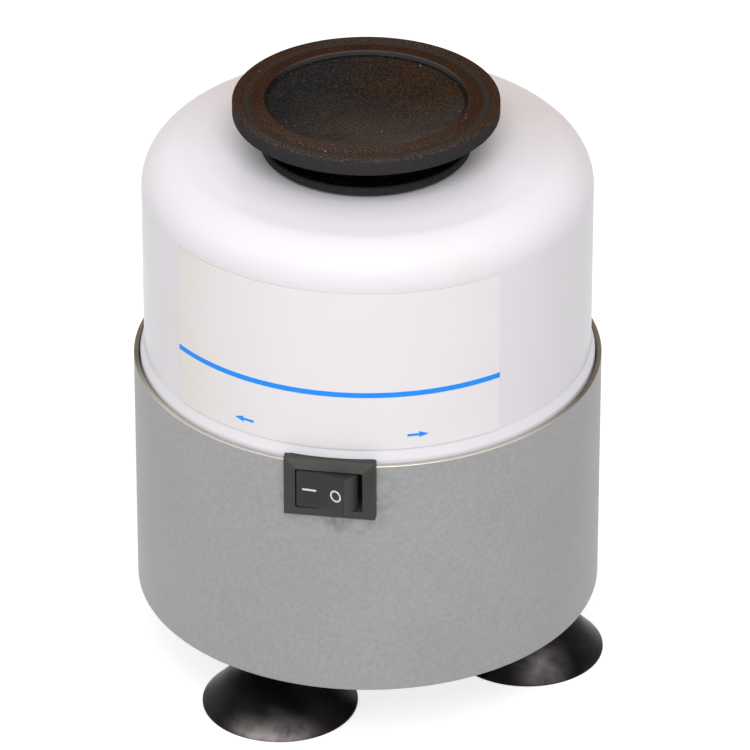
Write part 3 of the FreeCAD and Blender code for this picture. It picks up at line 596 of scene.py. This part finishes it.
def soften_edges(piece, width, angle, segments=2):
    """Round the edges that are sharper than an angle in degrees."""
    work_on(piece)
    soft = piece.modifiers.new("soft", "BEVEL")
    soft.width = width
    soft.segments = segments
    soft.limit_method = "ANGLE"
    soft.angle_limit = math.radians(angle)
    bpy.ops.object.modifier_apply(modifier="soft")


soften_edges(bezel, 0.22 * mm, 50.0)
drum = plain_cylinder(sleeve_r, 60 * mm, (0, 0, switch_z), sides=256)
combine(bezel, drum, "DIFFERENCE")
box_front = bezel_front + 1.2 * mm
box = plain_block((-box_half_w, box_front, switch_z - box_half_h),
                  (box_half_w, switch_back, switch_z + box_half_h))
combine(bezel, box, "UNION")
opening = plain_block((-opening_half_w, bezel_front - 2 * mm, switch_z - opening_half_h),
                      (opening_half_w, bezel_front + opening_depth, switch_z + opening_half_h))
combine(bezel, opening, "DIFFERENCE")
switch_nylon = plain_moulding("switch_nylon", (0.034, 0.033, 0.032), (0.046, 0.044, 0.042),
                              0.42, 0.54, 0.25)
dress(bezel, switch_nylon, "base", "switch_plastic", "switch_housing", sharp=20.0)
# The bezel's sloping top faces get a lighter nylon than the rest of it.
top_slope_nylon = plain_moulding("top_slope_nylon", (0.046, 0.043, 0.039), (0.068, 0.063, 0.057),
                             0.5, 0.6, 0.25)
coat_faces(bezel, top_slope_nylon, lambda centre, normal: normal.z > 0.25 and normal.y < -0.8)

# Rocker: one black moulding on two pivot pins, with two faces that meet in a soft valley.
# It rests with its left half pressed in. A bar and a ring are printed on its faces in white.
pivot_y = bezel_front + 4.5 * mm
rocker_tilt = math.radians(-15.7)
rocker_end_lean = math.radians(16.0)
rocker_hub_r = 2.2 * mm
rocker_half_h = 4.7 * mm
rocker_half_w = 5.9 * mm
rocker_tip = 6.4 * mm
rocker_valley = 5.3 * mm
rocker_root = 1.6 * mm
rocker_root_x = rocker_half_w + (rocker_tip - rocker_root) * math.tan(rocker_end_lean)


def raise_outline(name, points, low, high):
    """An outline of (x, y) points, filled and drawn up from low to high."""
    piece = draw_outline(name, [(x, y, 0.0) for x, y in points], (0.0, 0.0, low))
    bpy.ops.mesh.edge_face_add()
    bpy.ops.mesh.extrude_region_move(TRANSFORM_OT_translate={"value": (0, 0, high - low)})
    bpy.ops.mesh.select_all(action="SELECT")
    bpy.ops.mesh.normals_make_consistent(inside=False)
    bpy.ops.object.mode_set(mode="OBJECT")
    return piece


def turn_piece(piece, angle, axis, centre):
    """Turn a piece's mesh about a point."""
    work_on(piece)
    bpy.ops.object.mode_set(mode="EDIT")
    bpy.ops.mesh.select_all(action="SELECT")
    bpy.ops.transform.rotate(value=-angle, orient_axis=axis, center_override=centre)
    bpy.ops.object.mode_set(mode="OBJECT")


rocker_outline = [
    (0.0, -rocker_valley, 13.0 * mm),
    (rocker_half_w, -rocker_tip, 0.3 * mm),
    (rocker_root_x, -rocker_root, 0.4 * mm),
    (rocker_hub_r, rocker_hub_r, 0.3 * mm),
    (-rocker_hub_r, rocker_hub_r, 0.3 * mm),
    (-rocker_root_x, -rocker_root, 0.4 * mm),
    (-rocker_half_w, -rocker_tip, 0.3 * mm),
]
rocker_points = [(x, pivot_y + y) for x, y in round_corners(rocker_outline)]
rocker = raise_outline("switch_rocker_cap", rocker_points,
                       switch_z - rocker_half_h, switch_z + rocker_half_h)
soften_edges(rocker, 0.3 * mm, 50.0)
turn_piece(rocker, rocker_tilt, "Z", (0, pivot_y, switch_z))
rocker_nylon = plain_moulding("rocker_nylon", (0.021, 0.021, 0.022), (0.030, 0.030, 0.031),
                              0.34, 0.46, 0.22)
dress(rocker, rocker_nylon, "rocker", "switch_plastic", "switch_rocker", sharp=28.0)
# Painted light: the rocker's two end faces get a lighter copy of its nylon, standing in for the light that
# falls on them.
lit_end_nylon = plain_moulding("lit_end_nylon", (0.037, 0.036, 0.034), (0.048, 0.046, 0.044),
                              0.4, 0.5, 0.25)
coat_faces(rocker, lit_end_nylon, lambda centre, normal: abs(normal.x) > 0.6 and centre.y < pivot_y)


def print_ink(name, colour, pale):
    """Screen-printed ink, a little thin and uneven."""
    material, tree, shader = new_material(name, **{"Specular IOR Level": 0.15})
    patch = use_group(tree, mottle, Scale=1200.0, Detail=2.0, Low=0.35, High=0.8)
    tree.links.new(blend_colour(tree, patch, colour, pale), shader.inputs["Base Color"])
    vary(tree, patch, 0.4, 0.55, shader.inputs["Roughness"])
    return material


white_ink = print_ink("white_ink", (0.82, 0.82, 0.82), (0.6, 0.6, 0.6))
face_slope = math.atan2(rocker_tip - rocker_valley, rocker_half_w)


def print_on_rocker(piece, along):
    """Stand a flat print on the rocker's face, a way along from the valley, and tilt it with the rocker."""
    side = math.copysign(1, along)
    turn_piece(piece, math.pi / 2, "X", (0, 0, 0))
    turn_piece(piece, -side * face_slope, "Z", (0, 0, 0))
    work_on(piece)
    out = rocker_valley + abs(along) * math.sin(face_slope)
    bpy.ops.transform.translate(value=(along * math.cos(face_slope), pivot_y - out, switch_z))
    bpy.ops.object.transform_apply(location=True, rotation=False, scale=False)
    turn_piece(piece, rocker_tilt, "Z", (0, pivot_y, switch_z))
    dress(piece, white_ink, "rocker", "switch_plastic")


bar_half_w = 1.65 * mm
bar_half_h = 0.24 * mm
bar = plain_block((-bar_half_w, -bar_half_h, -0.1 * mm), (bar_half_w, bar_half_h, 0.05 * mm))
bar.name = "rocker_bar"
soften_edges(bar, 0.03 * mm, 50.0)
print_on_rocker(bar, -2.95 * mm)
clear_selection()
bpy.ops.mesh.primitive_torus_add(major_radius=1.28 * mm, minor_radius=0.22 * mm,
                                 major_segments=48, minor_segments=12)
ring = bpy.context.object
ring.name = "rocker_ring"
ring.scale = (1, 1, 0.3)
bpy.ops.object.transform_apply(location=False, rotation=False, scale=True)
print_on_rocker(ring, 3.75 * mm)

# White cover: one thick moulding of glossy plastic, with a flat top, round shoulder and straight wall.
# Its flared lip sits above the sleeve's rim, and a spigot below it slips inside the sleeve.
cover_low, cover_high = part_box("top_cover")
cover_top = cover_high.z
spigot_r = (cover_high.x - cover_low.x) / 2
cover_r = 51.8 * mm
cover_wall = 2.5 * mm
shoulder_r = 9.6 * mm
lip_top = rim_z + 2.8 * mm
lip_slope = 2.0 * mm
head_hole_r = 15.0 * mm
cover_outline = [
    (cover_r - cover_wall, cover_low.z, 0.0),
    (spigot_r, cover_low.z, 0.3 * mm),
    (spigot_r, lip_top - lip_slope, 1.2 * mm),
    (cover_r, lip_top, 1.5 * mm),
    (cover_r, cover_top, shoulder_r),
    (head_hole_r, cover_top, 0.6 * mm),
    (head_hole_r, cover_top - cover_wall, 0.6 * mm),
    (cover_r - cover_wall, cover_top - cover_wall, shoulder_r - cover_wall),
]
cover = turn_on_lathe("cover_moulding", round_corners(cover_outline), steps=192)
cover_notch_back = -45 * mm
cover_notch = plain_block((-notch_half_w, -sleeve_r - cut_past, switch_z - notch_half_h),
                          (notch_half_w, cover_notch_back, switch_z + notch_half_h))
combine(cover, cover_notch, "DIFFERENCE")


def white_plastic():
    """Glossy white plastic, paler on top as painted light, a little warmer and darker behind the shoulder
    and greyer at the lip as painted shade.
    """
    material, tree, shader = new_material("white_plastic", **{"Specular IOR Level": 0.28})
    axes = axes_of(tree, place_from(tree))
    lit_top_mask = spread_mask(tree, length_of(tree, place_from(tree)), 46 * mm, 38 * mm)
    on_shoulder = spread_mask(tree, axes["Z"], cover_top - 14 * mm, cover_top - 2 * mm)
    rearward = spread_mask(tree, axes["Y"], -12 * mm, 24 * mm)
    lip_shade_mask = spread_mask(tree, axes["Z"], lip_top + 0.8 * mm, lip_top - 0.4 * mm)
    cloud = use_group(tree, mottle, Scale=22.0, Detail=3.0, Low=0.3, High=0.75)
    stain = use_group(tree, mottle, Scale=38.0, Detail=5.0, Low=0.56, High=0.85)
    grain = use_group(tree, mottle, Scale=900.0, Detail=2.0, Low=0.3, High=0.7)
    tone = blend_colour(tree, cloud, (0.80, 0.765, 0.815), (0.815, 0.785, 0.82))
    aged = blend_colour(tree, stain, tone, (0.79, 0.755, 0.735))
    # Painted light: the flat top round the cup is made paler.
    painted_light_on_top = blend_colour(tree, lit_top_mask, aged, (0.88, 0.85, 0.895))
    # Painted shade: the shoulder behind the cup is darker and warmer.
    painted_shade_behind = blend_colour(tree, both_masks(tree, rearward, on_shoulder), painted_light_on_top, (0.69, 0.61, 0.605))
    # Painted shade: the lip above the sleeve is greyer.
    tree.links.new(blend_colour(tree, lip_shade_mask, painted_shade_behind, (0.74, 0.725, 0.765)), shader.inputs["Base Color"])
    vary(tree, cloud, 0.26, 0.36, shader.inputs["Roughness"])
    emboss(tree, shader, grain, 0.015 * mm, 0.4)
    return material


dress(cover, white_plastic(), "base", "white_cover", "top_cover")

# Front label: thin printed film, stuck round the front of the cover and slightly creamier than it.
# A blue line crosses it, and an arrow on each side shows one of the rocker's two ways.
label_low, label_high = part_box("front_label")
label_left = math.radians(46.15)
label_right = math.radians(44.0)
label_r = cover_r + 0.2 * mm


def curved_band(name, inner_r, outer_r, low, high):
    """A band round the front of the cover, cut off at the label's two sides."""
    section = [(inner_r, low), (outer_r, low), (outer_r, high), (inner_r, high)]
    band = turn_on_lathe(name, section, steps=240)
    bpy.ops.object.mode_set(mode="EDIT")
    for side, angle in ((-1, label_left), (1, label_right)):
        outward = (side * math.cos(angle), math.sin(angle), 0)
        bpy.ops.mesh.select_all(action="SELECT")
        bpy.ops.mesh.bisect(plane_co=(0, 0, 0), plane_no=outward, clear_outer=True, use_fill=True)
    bpy.ops.object.mode_set(mode="OBJECT")
    return band


def label_film():
    """Off-white film that has gone cream towards its left."""
    material, tree, shader = new_material("label_film", **{"Specular IOR Level": 0.4})
    leftward = spread_mask(tree, axes_of(tree, place_from(tree))["X"], -8 * mm, -36 * mm)
    fibre = use_group(tree, mottle, Scale=60.0, Detail=4.0, Low=0.3, High=0.7)
    aged = use_group(tree, mottle, Scale=30.0, Detail=3.0, Low=0.25, High=0.6)
    paper = blend_colour(tree, fibre, (0.85, 0.81, 0.835), (0.865, 0.835, 0.85))
    cream = blend_colour(tree, both_masks(tree, leftward, aged), paper, (0.825, 0.76, 0.695))
    tree.links.new(cream, shader.inputs["Base Color"])
    vary(tree, fibre, 0.36, 0.46, shader.inputs["Roughness"])
    return material


film_gap = 0.02 * mm
film = curved_band("label_film", cover_r + film_gap, label_r, label_low.z, label_high.z)
dress(film, label_film(), "base", "label_film", "front_label")
label_edge = plain_moulding("label_edge", (0.50, 0.44, 0.37), (0.60, 0.54, 0.47), 0.5, 0.6, 0.2)
coat_faces(film, label_edge,
           lambda centre, normal: abs(normal.x * centre.x + normal.y * centre.y) < 0.7 * cover_r)
blue_ink = print_ink("blue_ink", (0.016, 0.29, 0.99), (0.03, 0.34, 1.0))
ink_r = label_r + 0.03 * mm
ink_root_r = label_r - 0.05 * mm
line_z = 96.1 * mm
line_half_w = 0.65 * mm
line = curved_band("label_line", ink_root_r, ink_r, line_z - line_half_w, line_z + line_half_w)
dress(line, blue_ink, "base", "label_film")


def stick_on_label(piece, angle, height):
    """Stand a flat print up from the floor, carry it out to the label and turn it round to its place."""
    turn_piece(piece, math.pi / 2, "X", (0, 0, 0))
    work_on(piece)
    bpy.ops.transform.translate(value=(0, -label_r, height))
    bpy.ops.object.transform_apply(location=True, rotation=False, scale=False)
    turn_piece(piece, angle, "Z", (0, 0, 0))
    dress(piece, blue_ink, "base", "label_film")


arrow_z = 85.3 * mm
arrow_outline = [(-2.4, -0.28), (0.4, -0.28), (0.2, -0.78), (2.5, 0.0),
                 (0.2, 0.78), (0.4, 0.28), (-2.4, 0.28)]
for side, word, angle in ((-1, "left", -23.3), (1, "right", 21.6)):
    arrow_points = [(side * x * mm, y * mm) for x, y in arrow_outline]
    arrow = raise_outline("label_arrow_" + word, arrow_points, -0.06 * mm, 0.05 * mm)
    stick_on_label(arrow, math.radians(angle), arrow_z)

# Rubber cup: black rubber moulded over the metal head, with a grooved flange, a dish, a neck and a skirt.
# Handling has left its rings brownish and its dish dusty, with fine pale specks, and painted sheen,
# highlight and shade are laid over them.
cup_low, cup_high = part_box("rubber_cup")
cup_axis = ((cup_low.x + cup_high.x) / 2, (cup_low.y + cup_high.y) / 2)
cup_r = (cup_high.x - cup_low.x) / 2
cup_z = cup_low.z
cup_top = cup_high.z
flange_z = cup_top - 3.9 * mm
skirt_r = 24.0 * mm
skirt_top = cup_z + 1.9 * mm
neck_r = 19.5 * mm
groove_r_out = 28.5 * mm
groove_r_in = 26.3 * mm
groove_slope = 0.6 * mm
groove_z = cup_top - 0.8 * mm
dish_r = 23.0 * mm
dish_step = cup_top - 1.0 * mm
dish_sag = 4.3 * mm
dish_points = 14
head_plate_r = 15.0 * mm
head_plate_z = cup_z + 0.6 * mm
head_plate_top = head_plate_z + 3.0 * mm
cup_mouth_r = 13.5 * mm
cup_outline = [
    (cup_mouth_r, cup_z, 0.0),
    (skirt_r, cup_z, 0.4 * mm),
    (skirt_r, skirt_top, 0.5 * mm),
    (neck_r, skirt_top, 1.2 * mm),
    (neck_r, flange_z, 1.0 * mm),
    (cup_r, flange_z, 0.7 * mm),
    (cup_r, cup_top, 0.65 * mm),
    (groove_r_out, cup_top, 0.5 * mm),
    (groove_r_out - groove_slope, groove_z, 0.5 * mm),
    (groove_r_in + groove_slope, groove_z, 0.5 * mm),
    (groove_r_in, cup_top, 0.5 * mm),
    (dish_r, cup_top, 0.35 * mm),
    (dish_r, dish_step, 0.3 * mm),
]
for step in range(1, dish_points + 1):
    part_way = 1 - step / dish_points
    cup_outline.append((dish_r * part_way, dish_step - dish_sag * (1 - part_way ** 2), 0.0))
cup_outline += [
    (0.0, head_plate_top, 0.0),
    (head_plate_r, head_plate_top, 0.0),
    (head_plate_r, head_plate_z, 0.0),
    (cup_mouth_r, head_plate_z, 0.0),
]
cup = turn_on_lathe("cup_rubber", round_corners(cup_outline), cup_axis, 192)


def cup_rubber():
    """Grainy black rubber: brown stains in dish and rings, powder and painted sheen in front, a painted
    highlight on the dish's far edge, and painted shade in the dish's corner and on the neck below.
    """
    material, tree, shader = new_material("cup_rubber", IOR=1.1, **{"Specular IOR Level": 0.06})
    place = place_from(tree, (*cup_axis, cup_top))
    axes = axes_of(tree, place)
    radius = length_of(tree, place)
    outside = spread_mask(tree, radius, dish_r - 0.1 * mm, dish_r + 0.2 * mm)
    handled = spread_mask(tree, axes["Z"], -0.5 * mm, -0.1 * mm)
    inner_edge = spread_mask(tree, radius, dish_r - 0.15 * mm, dish_r + 0.05 * mm)
    outer_edge = spread_mask(tree, radius, dish_r + 0.45 * mm, dish_r + 0.2 * mm)
    dish_corner_shade = spread_mask(tree, radius, dish_r - 0.9 * mm, dish_r - 0.4 * mm)
    skirt_rim = spread_mask(tree, radius, skirt_r - 0.8 * mm, skirt_r - 0.3 * mm)
    below_flange = spread_mask(tree, axes["Z"], flange_z - cup_top, flange_z - cup_top - 1 * mm)
    lower = both_masks(tree, below_flange, spread_mask(tree, radius, neck_r - 3 * mm, neck_r - 2 * mm))
    rightward = spread_mask(tree, axes["X"], -12 * mm, 14 * mm)
    frontward = spread_mask(tree, axes["Y"], 10 * mm, -14 * mm)
    rearward = spread_mask(tree, axes["Y"], 6 * mm, 16 * mm)
    cloud = use_group(tree, mottle, Scale=55.0, Detail=4.0, Low=0.35, High=0.65)
    haze = use_group(tree, mottle, Scale=85.0, Detail=6.0, Low=0.1, High=0.5)
    rust = use_group(tree, mottle, Scale=160.0, Detail=6.0, Low=0.25, High=0.6)
    grain = use_group(tree, mottle, Scale=2300.0, Detail=3.0, Low=0.38, High=0.66)
    dust = use_group(tree, specks, Scale=1500.0, Size=0.36, Keep=0.72)
    crumbs = use_group(tree, specks, Scale=420.0, Size=0.1, Keep=0.86)
    slate = blend_colour(tree, grain, (0.009, 0.009, 0.010), (0.030, 0.027, 0.024))
    brown = blend_colour(tree, grain, (0.024, 0.010, 0.003), (0.066, 0.031, 0.012))
    dark_tone = blend_colour(tree, both_masks(tree, rightward, cloud), slate, brown)
    # Dust and painted sheen: the front of the dish, away from its left side, is paler in patches.
    dust_and_sheen_colour = blend_colour(tree, grain, (0.032, 0.026, 0.022), (0.088, 0.066, 0.053))
    off_left = spread_mask(tree, axes["X"], -19 * mm, -5 * mm)
    dust_and_sheen_mask = both_masks(tree, both_masks(tree, frontward, haze), off_left)
    with_dust_and_sheen = blend_colour(tree, dust_and_sheen_mask, dark_tone, dust_and_sheen_colour)
    # Painted shade: a dark band in the corner just inside the dish's edge.
    dish = blend_colour(tree, dish_corner_shade, with_dust_and_sheen, (0.010, 0.008, 0.007))
    in_front = spread_mask(tree, axes["Y"], -6 * mm, -23 * mm)
    at_back = spread_mask(tree, axes["Y"], 22 * mm, 28 * mm)
    in_groove = spread_mask(tree, radius, groove_r_in - 0.1 * mm, groove_r_in + 0.2 * mm)
    greasy = blend_colour(tree, rust, (0.036, 0.016, 0.008), (0.062, 0.023, 0.009))
    # Painted sheen: the rings are paler and greyer in front.
    inner_band = blend_colour(tree, in_front, greasy, (0.096, 0.064, 0.047))
    band_with_front_sheen = blend_colour(tree, in_front, (0.074, 0.034, 0.018), (0.086, 0.072, 0.063))
    outer_band = blend_colour(tree, at_back, band_with_front_sheen, (0.072, 0.055, 0.043))
    bands = blend_colour(tree, in_groove, inner_band, outer_band)
    speckled = blend_colour(tree, grain, (0.022, 0.013, 0.009), bands)
    rim_side = spread_mask(tree, radius, cup_r - 1.3 * mm, cup_r - 0.5 * mm)
    untouched = blend_colour(tree, rim_side, (0.044, 0.031, 0.025), (0.036, 0.034, 0.035))
    ring = blend_colour(tree, handled, untouched, speckled)
    upper = blend_colour(tree, outside, dish, ring)
    # Painted highlight: a pale line along the dish's edge at the back.
    far_edge_highlight = both_masks(tree, both_masks(tree, inner_edge, outer_edge), rearward)
    with_far_highlight = blend_colour(tree, far_edge_highlight, upper, (0.060, 0.058, 0.057))
    # Painted shade: the neck under the flange is near black, with the skirt's rim lighter.
    shaded = blend_colour(tree, skirt_rim, (0.004, 0.004, 0.004), (0.030, 0.030, 0.032))
    body = blend_colour(tree, lower, with_far_highlight, shaded)
    dusty = blend_colour(tree, dust, body, (0.075, 0.066, 0.055))
    tree.links.new(blend_colour(tree, crumbs, dusty, (0.40, 0.38, 0.34)), shader.inputs["Base Color"])
    vary(tree, cloud, 0.45, 0.62, shader.inputs["Roughness"])
    emboss(tree, shader, grain, 0.04 * mm, 0.7)
    return material


dress(cup, cup_rubber(), "head", "cup_rubber", "rubber_cup")

# Studio: a pale floor that keeps the shadow, with a soft key lamp in front, one at the right and a fill.
# The floor and the room read as white to the camera and in reflections, and the room lights the front more.


def seen_directly(tree):
    """1 for the camera's, reflected and transmitted rays, and 0 for the light that falls on the object."""
    path = tree.nodes.new("ShaderNodeLightPath").outputs
    seen = either_mask(tree, path["Is Camera Ray"], path["Is Glossy Ray"])
    return either_mask(tree, seen, path["Is Transmission Ray"])


world = bpy.data.worlds.new("studio")
bpy.context.scene.world = world
world.use_nodes = True
room_tree = world.node_tree
room = room_tree.nodes["Background"]
towards = axes_of(room_tree, room_tree.nodes.new("ShaderNodeTexCoord").outputs["Generated"])
glow_in_front = 0.64
glow_behind = 0.44
glow = add_node(room_tree, "ShaderNodeMapRange",
                **{"From Min": -1.0, "To Min": glow_in_front, "To Max": glow_behind})
room_tree.links.new(towards["Y"], glow.inputs["Value"])
lit = either_mask(room_tree, seen_directly(room_tree), glow.outputs["Result"])
room_tree.links.new(lit, room.inputs["Strength"])
room.inputs["Color"].default_value = (1.0, 1.0, 1.0, 1.0)

clear_selection()
bpy.ops.mesh.primitive_plane_add(size=6.0)
floor = bpy.context.object
floor.name = "studio_floor"
floor_paper, floor_tree, floor_shader = new_material("floor_paper", Roughness=0.9)
floor_shader.inputs["Base Color"].default_value = (0.5, 0.5, 0.5, 1.0)
floor_shader.inputs["Emission Color"].default_value = (1.0, 1.0, 1.0, 1.0)
vary(floor_tree, seen_directly(floor_tree), 0.0, 0.7, floor_shader.inputs["Emission Strength"])
floor.data.materials.append(floor_paper)
mixer_middle = 70 * mm


def soft_lamp(name, turn, rise, away, size, power):
    """A square area lamp aimed at the mixer's middle, placed by its angles from the front and the bench."""
    lamp = bpy.data.lights.new(name, "AREA")
    lamp.shape = "SQUARE"
    lamp.size = size
    lamp.energy = power
    holder = bpy.data.objects.new(name, lamp)
    bpy.context.collection.objects.link(holder)
    turn = math.radians(turn)
    rise = math.radians(rise)
    holder.location = (away * math.cos(rise) * math.sin(turn), -away * math.cos(rise) * math.cos(turn),
                       mixer_middle + away * math.sin(rise))
    holder.rotation_euler = (math.pi / 2 - rise, 0, turn)


soft_lamp("key", 10, 50, 1.4, 0.8, 11.6)
soft_lamp("side", 75, 55, 1.4, 0.5, 1.0)
soft_lamp("fill", -60, 32, 1.3, 0.7, 1.4)

# Camera at the photograph's viewing angle.
azimuth = math.radians(9.0)
elevation = math.radians(30.19)
distance = 1.6
target = (1.666 * mm, 0.264 * mm, 71.2 * mm)
lens = bpy.data.cameras.new("camera")
lens.lens = 330.2
lens.sensor_width = 36.0
camera = bpy.data.objects.new("camera", lens)
bpy.context.collection.objects.link(camera)
camera.location = (target[0] + distance * math.cos(elevation) * math.sin(azimuth),
                   target[1] - distance * math.cos(elevation) * math.cos(azimuth),
                   target[2] + distance * math.sin(elevation))
camera.rotation_euler = (math.pi / 2 - elevation, 0, azimuth)
bpy.context.scene.camera = camera
bpy.context.scene.view_settings.view_transform = "Standard"
